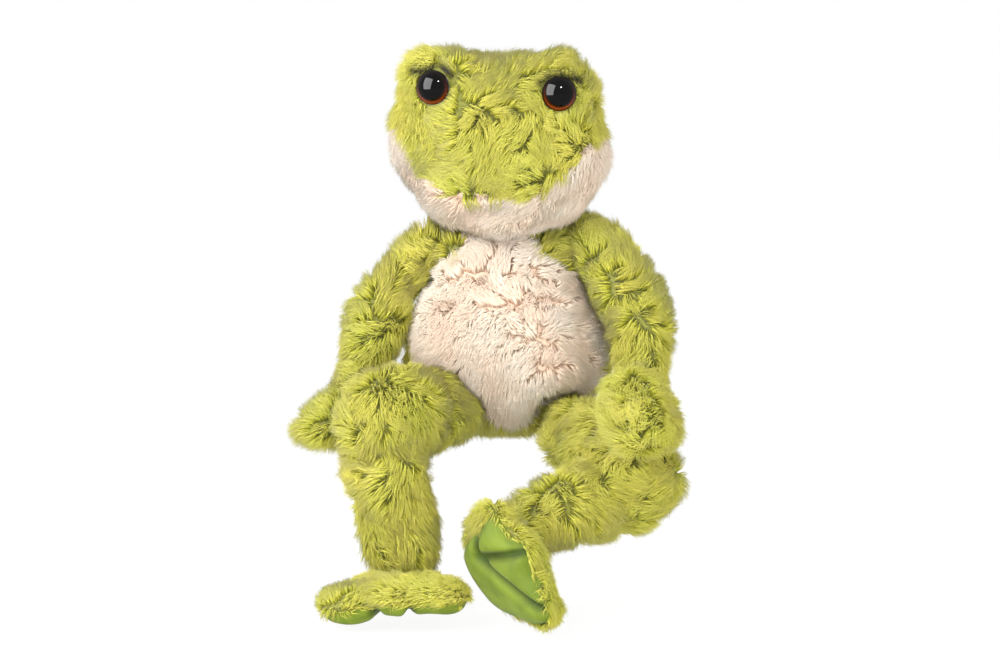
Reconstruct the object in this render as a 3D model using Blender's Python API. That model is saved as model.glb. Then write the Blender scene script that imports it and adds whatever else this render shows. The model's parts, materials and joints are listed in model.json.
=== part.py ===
"""A soft plush frog that sits on an edge with its legs hanging, in metres, +Z up.

The origin is the middle of the flat patch under its seat. It looks along -Y, so its own right
side is at -X. Each fur skin is a shell as thick as its backing cloth with the pile on it. It is
filled by its own stuffing, and closed limbs meet in ball and dish seams where the toy bends.
"""

import math

import bmesh
import bpy
import numpy as np
from mathutils import Matrix, Vector

# Sizes shared by all pieces
CLEARANCE = 0.0003  # between pieces that touch
TURNING_GAP = 0.0007  # between faceted balls and the dishes that turn on them
OVERRUN = 0.004  # how far a cutter runs past what it cuts
PILE_WALL = 0.005  # backing cloth with its pile, on head and body
LIMB_WALL = 0.004
RUN_TOGETHER = 0.0035  # how softly the swellings of one form run together

# Body
BODY_WIDTH = 0.112
BODY_DEPTH = 0.090
SEAT_RISE = 0.050  # from the seat to the widest part
CHEST_RISE = 0.087
CHEST_HEIGHT = 0.030
CHEST_WIDTH = 0.082
CHEST_DEPTH = 0.066
CHEST_BACK = 0.004  # how far the chest leans back
SEAT_CUT = 0.0005
POUCH_HEIGHT = 0.026  # top of the bean pouch over the seat
BELLY_WIDTH = 0.105
BELLY_HEIGHT = 0.092
BELLY_RISE = 0.060  # middle of the belly panel over the seat

# Neck
NECK_RADIUS = 0.021
NECK_SINK = 0.008  # its seat below the top of the chest
NECK_BALL_RISE = 0.006  # middle of the ball over that seat
NOD_GAP = 0.0075  # under the chin, for nodding

# Head
HEAD_WIDTH = 0.122
HEAD_DEPTH = 0.100
HEAD_HEIGHT = 0.101
HEAD_SIDE = -0.004
HEAD_FORWARD = 0.012  # head middle in front of the neck
HEAD_RISE = 0.0405  # head middle over the neck ball
HEAD_ROLL = math.radians(2.7)
HEAD_YAW = math.radians(-5)
SEAM_DROP = 0.0205  # mouth seam at the front, below the head's middle
SEAM_LIFT = 0.019  # mouth seam at the corners, above it
JAW_BACK = 0.012  # back edge of the cream jaw, behind the head's middle

# Eyes
EYE_RADIUS = 0.009
EYE_SINK = 0.0035  # how deep the pile is pressed in under the eye
EYE_BACK = 0.0015  # thickness of the coloured back
EYE_DOME = 0.0052  # height of the clear dome
EYE_BEZEL = 0.0008  # straight rim of the dome
EYE_CLOTH = 0.0018  # cloth held between eye and washer
POST_RADIUS = 0.0022
POST_LENGTH = 0.013
WASHER_RADIUS = 0.008
WASHER_THICK = 0.0014
EYE_TURN_OUT = math.radians(9)
EYE_APART_SHARE = 0.535  # of the head's width
EYE_RISE_SHARE = 0.303  # of its height, over its middle

# Limbs: radii where they swell most
ARM_RADIUS_RIGHT = 0.0180
ARM_RADIUS_LEFT = 0.0200
HAND_RADIUS_RIGHT = 0.0155
HAND_RADIUS_LEFT = 0.0195
THIGH_RADIUS = 0.027
SHIN_RADIUS = 0.0235
SHOULDER_RADIUS = 0.0150
HIP_RADIUS = 0.0195
WRIST_RADIUS = 0.0155
HAND_NECK = 0.0110  # radius of the hand where it turns on the wrist
KNEE_RADIUS = 0.0265
ANKLE_RADIUS = 0.0165
STUFFING_OPENING = 0.005  # radius of the opening that a limb is filled through

# Joint places
RIGHT_SHOULDER = Vector((-0.042, 0.002, 0.094))
LEFT_SHOULDER = Vector((0.042, 0.000, 0.099))
RIGHT_WRIST = Vector((-0.085, -0.028, 0.031))
LEFT_WRIST = Vector((0.075, -0.049, 0.042))
RIGHT_HAND_TIP = Vector((-0.098, -0.052, 0.013))
LEFT_HAND_TIP = Vector((0.066, -0.098, 0.023))
RIGHT_HIP = Vector((-0.031, -0.027, 0.018))
LEFT_HIP = Vector((0.031, -0.026, 0.011))
RIGHT_KNEE = Vector((-0.062, -0.075, 0.021))
LEFT_KNEE = Vector((0.066, -0.063, -0.013))
RIGHT_ANKLE = Vector((-0.053, -0.078, -0.047))
LEFT_ANKLE = Vector((0.007, -0.084, -0.035))
ARM_BULGE = 0.007  # how far each arm bows outwards and upwards

# Feet
FOOT_WIDTH = 0.085
FOOT_LENGTH = 0.072
FOOT_THICK = 0.024
RIGHT_FOOT_DROP = 0.0182  # foot middle below the ankle
LEFT_FOOT_DROP = 0.022
FOOT_FORWARD = 0.014  # foot middle in front of it
SOLE_THICK = 0.007
RIGHT_FOOT_SHIFT = -0.004
LEFT_FOOT_SHIFT = 0.019
RIGHT_TOES = Vector((-0.05, -1.0, -0.03))
RIGHT_SOLE_FACES = Vector((0.08, -0.03, -1.0))
LEFT_TOES = Vector((0.28, -0.77, 0.56))
LEFT_SOLE_FACES = Vector((-0.79, -0.52, -0.30))

# Shares of the sizes above, each a middle and a reach for one swelling
HEAD_SHARES = (
    ((0, 0, 0.10), (0.96, 0.94, 0.80)),
    ((0, -0.06, -0.29), (0.83, 0.90, 0.70)),
    ((0, -0.46, -0.06), (0.74, 0.62, 0.56)),
    ((-0.53, -0.30, 0.64), (0.35, 0.46, 0.39)),
    ((0.53, -0.30, 0.64), (0.35, 0.46, 0.39)),
    ((-0.06, -0.10, 0.66), (0.34, 0.52, 0.24)),
)
FOOT_SHARES = (
    ((0, 0.48, 0.10), (0.46, 0.50, 0.88)),
    ((0, 0.06, -0.04), (0.60, 0.58, 0.80)),
    ((-0.62, -0.30, -0.12), (0.34, 0.52, 0.74)),
    ((0, -0.50, -0.12), (0.31, 0.48, 0.74)),
    ((0.62, -0.30, -0.12), (0.34, 0.52, 0.74)),
)
# Places from the middle of the mouth to its corners, and how far the seam has risen there
SEAM_SHARES = ((0.0, 0.0), (0.3, 0.02), (0.9, 1.0), (1.0, 1.0))
# Places along a limb, from root to tip, and how far it has swollen there
ARM_SWELL_SHARES = ((0.0, 0.0), (0.25, 0.9), (0.6, 1.0), (0.86, 0.15), (1.0, 0.1))
LEG_SWELL_SHARES = ((0.0, 0.0), (0.35, 0.4), (0.75, 1.0), (1.0, 0.9))
SHIN_SWELL_SHARES = ((0.0, 0.55), (0.3, 1.0), (0.6, 0.80), (1.0, 0.0))
HAND_SWELL_SHARES = ((0.0, 0.0), (0.15, 0.1), (0.5, 0.85), (0.8, 1.0), (1.0, 0.9))

# How fine the forms are
RING_SIDES = 12
RING_STEPS = 7
CAP_STEPS = 2
LINING_SIDES = 8
BALL_STEPS = 3
LINING_STEPS = 2
HEAD_STEPS = 4
BODY_GRID = (26, 15)
FOOT_GRID = (30, 9)
SEAM_STEPS = 14
EYE_SIDES = 16
DOME_STEPS = 4

# Colours of cloth, pile and eye
LEAF_GREEN = (0.42, 0.47, 0.055)
CREAM = (0.86, 0.72, 0.58)
LIME = (0.24, 0.46, 0.05)
WADDING = (0.85, 0.85, 0.82)
PELLET_CLOTH = (0.70, 0.70, 0.66)
AMBER = (0.25, 0.06, 0.01)
CLEAR = (0.02, 0.012, 0.008)
WASHER_WHITE = (0.8, 0.8, 0.78)


def material(name, colour, roughness):
    """A plain Principled material, made once and then shared."""
    if name in bpy.data.materials:
        return bpy.data.materials[name]
    made = bpy.data.materials.new(name)
    made.use_nodes = True
    shader = made.node_tree.nodes["Principled BSDF"]
    shader.inputs["Base Color"].default_value = (*colour, 1.0)
    shader.inputs["Roughness"].default_value = roughness
    shader.inputs["Metallic"].default_value = 0.0
    made.diffuse_color = (*colour, 1.0)
    return made


def finish_mesh(name, bm, look=None):
    """A smooth-shaded object from bm. One with no look is a cutter."""
    bmesh.ops.recalc_face_normals(bm, faces=bm.faces)
    mesh = bpy.data.meshes.new(name)
    bm.to_mesh(mesh)
    bm.free()
    mesh.shade_smooth()
    made = bpy.data.objects.new(name, mesh)
    bpy.context.scene.collection.objects.link(made)
    if look:
        mesh.materials.append(look)
    else:
        made.hide_render = True
        made.display_type = "WIRE"
    return made


def cut(target, cutter, operation="DIFFERENCE"):
    change = target.modifiers.new(cutter.name, "BOOLEAN")
    change.operation = operation
    change.object = cutter
    change.solver = "EXACT"
    return target


def run_together(points, swellings):
    """About how far points lie outside the swellings, which run softly into each other."""
    total = np.zeros(len(points))
    for middle, reach in swellings:
        share = np.linalg.norm((points - middle) / reach, axis=1)
        total += np.exp((1 - share) * np.min(reach) / RUN_TOGETHER)
    return -RUN_TOGETHER * np.log(np.maximum(total, np.finfo(float).tiny))


def surface_reach(directions, middle, swellings, offset):
    """How far the form's surface, moved out by offset, lies from its middle each way."""
    low = np.zeros(len(directions))
    high = np.full(len(directions), 2 * max(np.max(reach) for _, reach in swellings))
    for _ in range(40):
        half = (low + high) / 2
        inside = run_together(middle + directions * half[:, None], swellings) < offset
        low = np.where(inside, half, low)
        high = np.where(inside, high, half)
    return low


def swollen_form(name, middle, swellings, look=None, offset=0.0, detail=LINING_STEPS, turn=None):
    """A ball whose points are pushed out to the surface of the swellings, then turned and placed.

    detail is a number of subdivisions, or how many segments and rings the ball has.
    """
    bm = bmesh.new()
    if isinstance(detail, tuple):
        segments, rings = detail
        bmesh.ops.create_uvsphere(bm, u_segments=segments, v_segments=rings, radius=1)
        bmesh.ops.triangulate(bm, faces=bm.faces)
    else:
        bmesh.ops.create_icosphere(bm, subdivisions=detail, radius=1)
    directions = np.array([v.co for v in bm.verts], float)
    reach = surface_reach(directions, np.zeros(3), swellings, offset)
    for vertex, direction, far in zip(bm.verts, directions, reach):
        vertex.co = Vector(direction * far)
    place = Matrix.Translation(middle) @ (turn or Matrix.Identity(4))
    bmesh.ops.transform(bm, matrix=place, verts=bm.verts)
    return finish_mesh(name, bm, look)


def scaled(shares, halves):
    """Swellings from shares of half sizes, as numbers relative to the form's middle."""
    halves = np.array(halves)
    return [(np.array(middle) * halves, np.array(reach) * halves) for middle, reach in shares]


def ball(name, middle, radius, detail=BALL_STEPS):
    bm = bmesh.new()
    bmesh.ops.create_icosphere(bm, subdivisions=detail, radius=radius)
    bmesh.ops.translate(bm, vec=middle, verts=bm.verts)
    return finish_mesh(name, bm)


def drum(name, start, end, radius, look=None, sides=EYE_SIDES):
    """A plain cylinder from start to end."""
    along = end - start
    bm = bmesh.new()
    bmesh.ops.create_cone(
        bm, cap_ends=True, segments=sides, radius1=radius, radius2=radius, depth=along.length
    )
    turn = Vector((0, 0, 1)).rotation_difference(along).to_matrix().to_4x4()
    place = Matrix.Translation((start + end) / 2) @ turn
    bmesh.ops.transform(bm, matrix=place, verts=bm.verts)
    return finish_mesh(name, bm, look)


def block(name, low, high):
    bm = bmesh.new()
    bmesh.ops.create_cube(bm, size=1)
    size = [b - a for a, b in zip(low, high)]
    middle = [(a + b) / 2 for a, b in zip(low, high)]
    place = Matrix.Translation(middle) @ Matrix.Diagonal((*size, 1))
    bmesh.ops.transform(bm, matrix=place, verts=bm.verts)
    return finish_mesh(name, bm)


def prism(name, outline, near, far, place=None):
    """An outline in X and Z, pushed along Y from near to far."""
    bm = bmesh.new()
    front = [bm.verts.new((x, near, z)) for x, z in outline]
    face = bm.faces.new(front)
    grown = bmesh.ops.extrude_face_region(bm, geom=[face])["geom"]
    moved = [v for v in grown if isinstance(v, bmesh.types.BMVert)]
    bmesh.ops.translate(bm, vec=(0, far - near, 0), verts=moved)
    if place:
        bmesh.ops.transform(bm, matrix=place, verts=bm.verts)
    return finish_mesh(name, bm)


def smooth_share(shares, at):
    """Reads a table of (place, share) with an easy curve between its rows."""
    for (a, low), (b, high) in zip(shares, shares[1:]):
        if at <= b:
            part = (at - a) / (b - a)
            return low + (high - low) * (1 - math.cos(math.pi * part)) / 2
    return shares[-1][1]


def limb_form(
    name, start, end, ends, swell, shares, bow=Vector(), inset=0.0, look=None, sides=RING_SIDES
):
    """A stuffed limb: a ball at each end, on start and end, and rings that swell between.

    ends holds the two end radii, swell the largest radius, and bow pushes the middle aside.
    inset makes all radii smaller, for a lining or the stuffing.
    """
    low, high = min(ends), swell
    rings = []
    for step in range(RING_STEPS + 1):
        at = step / RING_STEPS
        middle = start.lerp(end, at) + bow * (4 * at * (1 - at))
        radius = low + (high - low) * smooth_share(shares, at)
        rings.append([middle, radius])
    rings[0][1], rings[-1][1] = ends
    for ring in rings:
        ring[1] -= inset
    tangents = [
        (rings[min(i + 1, RING_STEPS)][0] - rings[max(i - 1, 0)][0]).normalized()
        for i in range(RING_STEPS + 1)
    ]
    angles = [math.pi / 2 * (k + 1) / (CAP_STEPS + 1) for k in range(CAP_STEPS)]
    full = []
    for angle in reversed(angles):
        middle, radius = rings[0]
        full.append(
            (middle - tangents[0] * radius * math.sin(angle), radius * math.cos(angle), tangents[0])
        )
    full += [(middle, radius, t) for (middle, radius), t in zip(rings, tangents)]
    for angle in angles:
        middle, radius = rings[-1]
        full.append(
            (middle + tangents[-1] * radius * math.sin(angle), radius * math.cos(angle), tangents[-1])
        )
    poles = (
        rings[0][0] - tangents[0] * rings[0][1],
        rings[-1][0] + tangents[-1] * rings[-1][1],
    )
    bm = bmesh.new()
    side = (end - start).normalized().orthogonal().normalized()
    loops = []
    for middle, radius, along in full:
        u = (side - along * side.dot(along)).normalized()
        v = along.cross(u)
        loop = []
        for k in range(sides):
            turn = 2 * math.pi * k / sides
            loop.append(bm.verts.new(middle + (u * math.cos(turn) + v * math.sin(turn)) * radius))
        loops.append(loop)
    for a, b in zip(loops, loops[1:]):
        for k in range(sides):
            after = (k + 1) % sides
            bm.faces.new((a[k], a[after], b[after]))
            bm.faces.new((a[k], b[after], b[k]))
    for loop, pole in ((loops[0], poles[0]), (loops[-1], poles[1])):
        tip = bm.verts.new(pole)
        for k in range(sides):
            bm.faces.new((loop[k], loop[(k + 1) % sides], tip))
    return finish_mesh(name, bm, look)


def stuffed_limb(name, start, end, ends, swell, shares, bow=Vector(), open_root=True):
    """A fur skin and the stuffing in it. An open root leaves the hole that it was filled through."""
    form = (start, end, ends, swell, shares, bow)
    skin = limb_form(name + "_skin", *form, look=PILE)
    lining = limb_form(name + "_lining", *form, inset=LIMB_WALL, sides=LINING_SIDES)
    cut(skin, lining)
    gap = LIMB_WALL + CLEARANCE
    fill = limb_form(name + "_stuffing", *form, inset=gap, look=FILLING, sides=LINING_SIDES)
    if open_root:
        into = (start.lerp(end, 1 / RING_STEPS) + bow * (4 / RING_STEPS) - start).normalized()
        mouth = drum(
            name + "_mouth", start, start - into * (ends[0] + OVERRUN), STUFFING_OPENING
        )
        cut(skin, mouth)
    return skin, fill


def joint(name, place, parent=None):
    """An empty on a joint, which its pieces and the next joint hang on."""
    made = bpy.data.objects.new(name, None)
    bpy.context.scene.collection.objects.link(made)
    made.empty_display_size = EYE_RADIUS
    made.parent = parent
    made.location = place - (JOINT_PLACES[parent.name] if parent else Vector())
    JOINT_PLACES[name] = place.copy()
    return made


def hang(pieces, at):
    """Gives each piece its origin on the joint, without moving it."""
    for piece in pieces:
        piece.data.transform(Matrix.Translation(-JOINT_PLACES[at.name]))
        piece.parent = at


def body_swellings():
    seat = (
        np.array((0, 0, 0)),
        np.array((BODY_WIDTH / 2, BODY_DEPTH / 2, SEAT_RISE + SEAT_CUT)),
    )
    chest = (
        np.array((0, CHEST_BACK, CHEST_RISE - SEAT_RISE)),
        np.array((CHEST_WIDTH / 2, CHEST_DEPTH / 2, CHEST_HEIGHT)),
    )
    return [seat, chest]


def oval(half_width, half_height, rise, extra):
    """Points round the belly panel, moved out by extra."""
    turns = [2 * math.pi * k / (2 * SEAM_STEPS) for k in range(2 * SEAM_STEPS)]
    return [
        ((half_width + extra) * math.cos(t), rise + (half_height + extra) * math.sin(t))
        for t in turns
    ]


def seam_outline(extra):
    """The jaw's outline seen from the front: the mouth seam, closed below, moved out by extra."""
    half = HEAD_WIDTH / 2 + OVERRUN
    across = [half * (2 * k / SEAM_STEPS - 1) for k in range(SEAM_STEPS + 1)]
    rise = SEAM_DROP + SEAM_LIFT
    seam = [(x, extra - SEAM_DROP + rise * smooth_share(SEAM_SHARES, abs(x / half))) for x in across]
    seam[0] = (seam[0][0] - extra, seam[0][1])
    seam[-1] = (seam[-1][0] + extra, seam[-1][1])
    bottom = -HEAD_HEIGHT
    return [(seam[0][0], bottom), *seam, (seam[-1][0], bottom)]


def build_body(chest_top):
    """Fur skin, cream belly panel, stuffing and the bean pouch that weighs the seat down."""
    middle = Vector((0, 0, SEAT_RISE))
    swellings = body_swellings()
    skin = swollen_form("body_skin", middle, swellings, PILE, detail=BODY_GRID)
    belly = swollen_form("belly_panel", middle, swellings, CREAM_PILE, detail=BODY_GRID)
    lining = swollen_form("body_lining", middle, swellings, offset=-PILE_WALL)
    gap = -PILE_WALL - CLEARANCE
    fill = swollen_form("body_stuffing", middle, swellings, FILLING, offset=gap)
    pouch = swollen_form("bean_pouch", middle, swellings, POUCH_CLOTH, offset=gap)
    reach = BODY_WIDTH
    seat = block("seat_cutter", (-reach, -reach, -OVERRUN), (reach, reach, 0))
    neck_seat = chest_top - NECK_SINK
    top = block("neck_seat_cutter", (-reach, -reach, neck_seat), (reach, reach, chest_top + OVERRUN))
    under_top = block(
        "neck_seat_inside", (-reach, -reach, neck_seat - PILE_WALL), (reach, reach, chest_top)
    )
    halves = (BELLY_WIDTH / 2, BELLY_HEIGHT / 2, BELLY_RISE)
    panel = prism("belly_cutter", oval(*halves, 0), -reach, 0)
    window = prism("belly_window", oval(*halves, CLEARANCE), -reach, CLEARANCE)
    for piece in (skin, belly):
        cut(piece, lining)
        cut(piece, seat)
        cut(piece, top)
    cut(lining, under_top)
    cut(fill, under_top)
    cut(skin, window)
    cut(belly, panel, "INTERSECT")
    low = block("pouch_room", (-reach, -reach, -OVERRUN), (reach, reach, POUCH_HEIGHT + CLEARANCE))
    high = block("pouch_top", (-reach, -reach, POUCH_HEIGHT), (reach, reach, chest_top))
    cut(fill, low)
    cut(pouch, high)
    return skin, belly, fill, pouch


def build_neck(ball_middle, neck_seat):
    """A short stuffed neck: a ball cut flat where it is sewn to the chest."""
    bm = bmesh.new()
    bmesh.ops.create_uvsphere(
        bm, u_segments=2 * RING_SIDES, v_segments=RING_SIDES, radius=NECK_RADIUS
    )
    bmesh.ops.translate(bm, vec=ball_middle, verts=bm.verts)
    neck = finish_mesh("neck", bm, PILE)
    reach = 2 * NECK_RADIUS
    low = (ball_middle.x - reach, ball_middle.y - reach, ball_middle.z - reach)
    high = (ball_middle.x + reach, ball_middle.y + reach, neck_seat + CLEARANCE)
    cut(neck, block("neck_flat", low, high))
    return neck


def front_of(swellings, side, rise):
    """The point of a form's front surface at this place across and up."""
    low, high = 0.0, HEAD_DEPTH
    for _ in range(40):
        half = (low + high) / 2
        inside = run_together(np.array([[side, -half, rise]]), swellings)[0] < 0
        low, high = (half, high) if inside else (low, half)
    return Vector((side, -low, rise))


def lens_form(name, place, look):
    """The clear dome: a turned profile with a short straight rim."""
    rise = EYE_DOME - EYE_BEZEL
    profile = [(EYE_RADIUS, 0), (EYE_RADIUS, EYE_BEZEL)]
    for k in range(1, DOME_STEPS):
        turn = math.pi / 2 * k / DOME_STEPS
        profile.append((EYE_RADIUS * math.cos(turn), EYE_BEZEL + rise * math.sin(turn)))
    bm = bmesh.new()
    loops = []
    for radius, up in profile:
        turns = [2 * math.pi * k / EYE_SIDES for k in range(EYE_SIDES)]
        loops.append([bm.verts.new((radius * math.cos(t), radius * math.sin(t), up)) for t in turns])
    for a, b in zip(loops, loops[1:]):
        for k in range(EYE_SIDES):
            after = (k + 1) % EYE_SIDES
            bm.faces.new((a[k], a[after], b[after], b[k]))
    bm.faces.new(loops[0])
    tip = bm.verts.new((0, 0, EYE_DOME))
    for k in range(EYE_SIDES):
        bm.faces.new((loops[-1][k], loops[-1][(k + 1) % EYE_SIDES], tip))
    bmesh.ops.transform(bm, matrix=place, verts=bm.verts)
    return finish_mesh(name, bm, look)


def build_eye(side_name, sign, place, swellings, shells, fill):
    """One safety eye: a clear dome on a coloured back, whose post holds a washer inside the head."""
    front = front_of(swellings, sign * EYE_APART_SHARE * HEAD_WIDTH / 2, EYE_RISE_SHARE * HEAD_HEIGHT)
    turn = Matrix.Rotation(sign * EYE_TURN_OUT, 4, "Z") @ Matrix.Rotation(math.pi / 2, 4, "X")
    at = place @ Matrix.Translation(front) @ turn

    def along(depth):
        return at @ Vector((0, 0, depth))

    floor = -EYE_SINK
    inner = floor - EYE_CLOTH
    dish = drum(side_name + "_eye_dish", along(floor), along(EYE_RADIUS), EYE_RADIUS + CLEARANCE)
    hole = drum(
        side_name + "_post_hole", along(-POST_LENGTH), along(0), POST_RADIUS + CLEARANCE
    )
    end = floor - POST_LENGTH
    room = drum(
        side_name + "_washer_room", along(end - CLEARANCE), along(inner), WASHER_RADIUS + CLEARANCE
    )
    for shell in shells:
        cut(shell, dish)
        cut(shell, hole)
        cut(shell, room)
    cut(fill, room)
    back_low = floor + CLEARANCE
    back = drum(side_name + "_eye_back", along(back_low), along(back_low + EYE_BACK), EYE_RADIUS, IRIS)
    post = drum(side_name + "_eye_post", along(end), along(back_low + EYE_BACK / 2), POST_RADIUS)
    cut(back, post, "UNION")
    seat = at @ Matrix.Translation((0, 0, back_low + EYE_BACK + CLEARANCE))
    lens = lens_form(side_name + "_eye_lens", seat, LENS)
    washer_top = inner - CLEARANCE
    washer = drum(
        side_name + "_eye_washer", along(washer_top - WASHER_THICK), along(washer_top),
        WASHER_RADIUS, WASHER,
    )
    bore = drum(
        side_name + "_washer_bore", along(end), along(0), POST_RADIUS + CLEARANCE
    )
    cut(washer, bore)
    return back, lens, washer


def build_head(neck_ball):
    """Green crown and cream jaw, sewn along the mouth, over one stuffing, with both eyes."""
    middle = neck_ball + Vector((HEAD_SIDE, -HEAD_FORWARD, HEAD_RISE))
    turn = Matrix.Rotation(HEAD_ROLL, 4, "Y") @ Matrix.Rotation(HEAD_YAW, 4, "Z")
    place = Matrix.Translation(middle) @ turn
    swellings = scaled(HEAD_SHARES, (HEAD_WIDTH / 2, HEAD_DEPTH / 2, HEAD_HEIGHT / 2))

    def form(name, look=None, offset=0.0, detail=LINING_STEPS):
        return swollen_form(name, middle, swellings, look, offset, detail, turn)

    crown = form("head_crown", PILE, detail=HEAD_STEPS)
    jaw = form("jaw_panel", CREAM_PILE, detail=HEAD_STEPS)
    lining = form("head_lining", offset=-PILE_WALL)
    fill = form("head_stuffing", FILLING, -PILE_WALL - CLEARANCE)
    near, back = -HEAD_DEPTH, JAW_BACK
    jaw_room = prism("jaw_cutter", seam_outline(0), near, back, place)
    crown_room = prism("crown_cutter", seam_outline(CLEARANCE), near, back + CLEARANCE, place)
    chest = Vector((0, 0, SEAT_RISE))
    under = swollen_form("nod_room", chest, body_swellings(), offset=NOD_GAP, detail=BALL_STEPS)
    socket = ball("neck_socket", neck_ball, NECK_RADIUS + TURNING_GAP)
    for shell in (crown, jaw):
        cut(shell, lining)
        cut(shell, under)
        cut(shell, socket)
    cut(fill, under)
    cut(fill, socket)
    cut(jaw, jaw_room, "INTERSECT")
    cut(crown, crown_room)
    pieces = [crown, jaw, fill]
    for side_name, sign in (("right", -1), ("left", 1)):
        pieces += build_eye(side_name, sign, place, swellings, (crown,), fill)
    return pieces


def build_foot(side, ankle, toes, sole_faces, shift, drop):
    """A webbed foot with three toes: fur above, a smooth sole below and stuffing between."""
    up = -sole_faces.normalized()
    back = -(toes - up * toes.dot(up)).normalized()
    across = back.cross(up)
    turn = Matrix((across, back, up)).transposed().to_4x4()
    middle = ankle + turn @ Vector((shift, -FOOT_FORWARD, -drop))
    swellings = scaled(FOOT_SHARES, (FOOT_WIDTH / 2, FOOT_LENGTH / 2, FOOT_THICK / 2))

    def form(name, look=None, offset=0.0, detail=LINING_STEPS):
        return swollen_form(name, middle, swellings, look, offset, detail, turn)

    name = side + "_foot"
    upper = form(name + "_upper", PILE, detail=FOOT_GRID)
    sole = form(name + "_sole", SOLE, detail=FOOT_GRID)
    lining = form(name + "_lining", offset=-LIMB_WALL)
    fill = form(name + "_stuffing", FILLING, -LIMB_WALL - CLEARANCE)
    split = SOLE_THICK - FOOT_THICK / 2
    place = Matrix.Translation(middle) @ turn
    reach = FOOT_WIDTH
    below = prism(
        name + "_below", [(-reach, -reach), (reach, -reach), (reach, split), (-reach, split)],
        -reach, reach, place,
    )
    over = split - CLEARANCE
    above = prism(
        name + "_above", [(-reach, over), (reach, over), (reach, reach), (-reach, reach)],
        -reach, reach, place,
    )
    dish = ball(name + "_dish", ankle, ANKLE_RADIUS + TURNING_GAP)
    cut(upper, lining)
    cut(upper, below)
    cut(fill, below)
    cut(sole, above)
    for piece in (upper, fill):
        cut(piece, dish)
    return upper, sole, fill


def limb_room(name, start, end, ends, swell, shares, bow=Vector()):
    """The limb's own form with clearance all round, to cut its smaller neighbours."""
    return limb_form(name, start, end, ends, swell, shares, bow, inset=-CLEARANCE)


def build_limbs(body_pieces, root):
    """Arms, hands, thighs, shins and feet, each cut by the larger piece that it meets."""
    sides = (
        ("right", -1, RIGHT_SHOULDER, RIGHT_WRIST, RIGHT_HAND_TIP, RIGHT_HIP, RIGHT_KNEE,
         RIGHT_ANKLE, ARM_RADIUS_RIGHT, HAND_RADIUS_RIGHT),
        ("left", 1, LEFT_SHOULDER, LEFT_WRIST, LEFT_HAND_TIP, LEFT_HIP, LEFT_KNEE,
         LEFT_ANKLE, ARM_RADIUS_LEFT, HAND_RADIUS_LEFT),
    )
    feet = {
        "right": (RIGHT_TOES, RIGHT_SOLE_FACES, RIGHT_FOOT_SHIFT, RIGHT_FOOT_DROP),
        "left": (LEFT_TOES, LEFT_SOLE_FACES, LEFT_FOOT_SHIFT, LEFT_FOOT_DROP),
    }
    for side, sign, shoulder, wrist, tip, hip, knee, ankle, arm_radius, hand_radius in sides:
        bow = Vector((sign * ARM_BULGE, 0, ARM_BULGE))
        arm = (shoulder, wrist, (SHOULDER_RADIUS, WRIST_RADIUS), arm_radius, ARM_SWELL_SHARES, bow)
        thigh = (hip, knee, (HIP_RADIUS, KNEE_RADIUS), THIGH_RADIUS, LEG_SWELL_SHARES)
        shin_start = knee.lerp(ankle, KNEE_RADIUS / 2 / (ankle - knee).length)
        shin = (shin_start, ankle, (ANKLE_RADIUS, ANKLE_RADIUS), SHIN_RADIUS, SHIN_SWELL_SHARES)
        hand_start = wrist.lerp(tip, 1 / RING_STEPS)
        hand = (hand_start, tip, (HAND_NECK, hand_radius), hand_radius, HAND_SWELL_SHARES)
        arm_skin, arm_fill = stuffed_limb(side + "_arm", *arm)
        thigh_skin, thigh_fill = stuffed_limb(side + "_thigh", *thigh)
        shin_skin, shin_fill = stuffed_limb(side + "_shin", *shin, open_root=False)
        hand_skin, hand_fill = stuffed_limb(side + "_hand", *hand, open_root=False)
        thigh_room = limb_room(side + "_thigh_room", *thigh)
        shin_room = limb_room(side + "_shin_room", *shin)
        knee_dish = ball(side + "_knee_dish", knee, KNEE_RADIUS + TURNING_GAP)
        wrist_dish = ball(side + "_wrist_dish", wrist, WRIST_RADIUS + TURNING_GAP)
        arm_room = limb_room(side + "_arm_room", *arm)
        hip_socket = ball(side + "_hip_socket", hip, HIP_RADIUS + TURNING_GAP)
        shoulder_socket = ball(side + "_shoulder_socket", shoulder, SHOULDER_RADIUS + TURNING_GAP)
        for piece in body_pieces:
            cut(piece, hip_socket)
            cut(piece, shoulder_socket)
            cut(piece, arm_room)
            cut(piece, thigh_room)
        for piece in (shin_skin, shin_fill):
            cut(piece, knee_dish)
            cut(piece, thigh_room)
        for piece in (hand_skin, hand_fill):
            cut(piece, wrist_dish)
            cut(piece, arm_room)
            cut(piece, thigh_room)
            cut(piece, shin_room)
        foot = build_foot(side, ankle, *feet[side])
        shoulder_joint = joint(side + "_shoulder", shoulder, root)
        wrist_joint = joint(side + "_wrist", wrist, shoulder_joint)
        hip_joint = joint(side + "_hip", hip, root)
        knee_joint = joint(side + "_knee", knee, hip_joint)
        ankle_joint = joint(side + "_ankle", ankle, knee_joint)
        hang((arm_skin, arm_fill), shoulder_joint)
        hang((hand_skin, hand_fill), wrist_joint)
        hang((thigh_skin, thigh_fill), hip_joint)
        hang((shin_skin, shin_fill), knee_joint)
        hang(foot, ankle_joint)


for old in list(bpy.data.objects):
    bpy.data.objects.remove(old)

JOINT_PLACES = {}
PILE = material("green_pile", LEAF_GREEN, 0.95)
CREAM_PILE = material("cream_pile", CREAM, 0.95)
SOLE = material("smooth_sole_cloth", LIME, 0.8)
FILLING = material("stuffing", WADDING, 1.0)
POUCH_CLOTH = material("pouch_cloth", PELLET_CLOTH, 0.9)
IRIS = material("eye_back_plastic", AMBER, 0.3)
LENS = material("eye_lens_plastic", CLEAR, 0.08)
WASHER = material("washer_plastic", WASHER_WHITE, 0.5)

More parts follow.
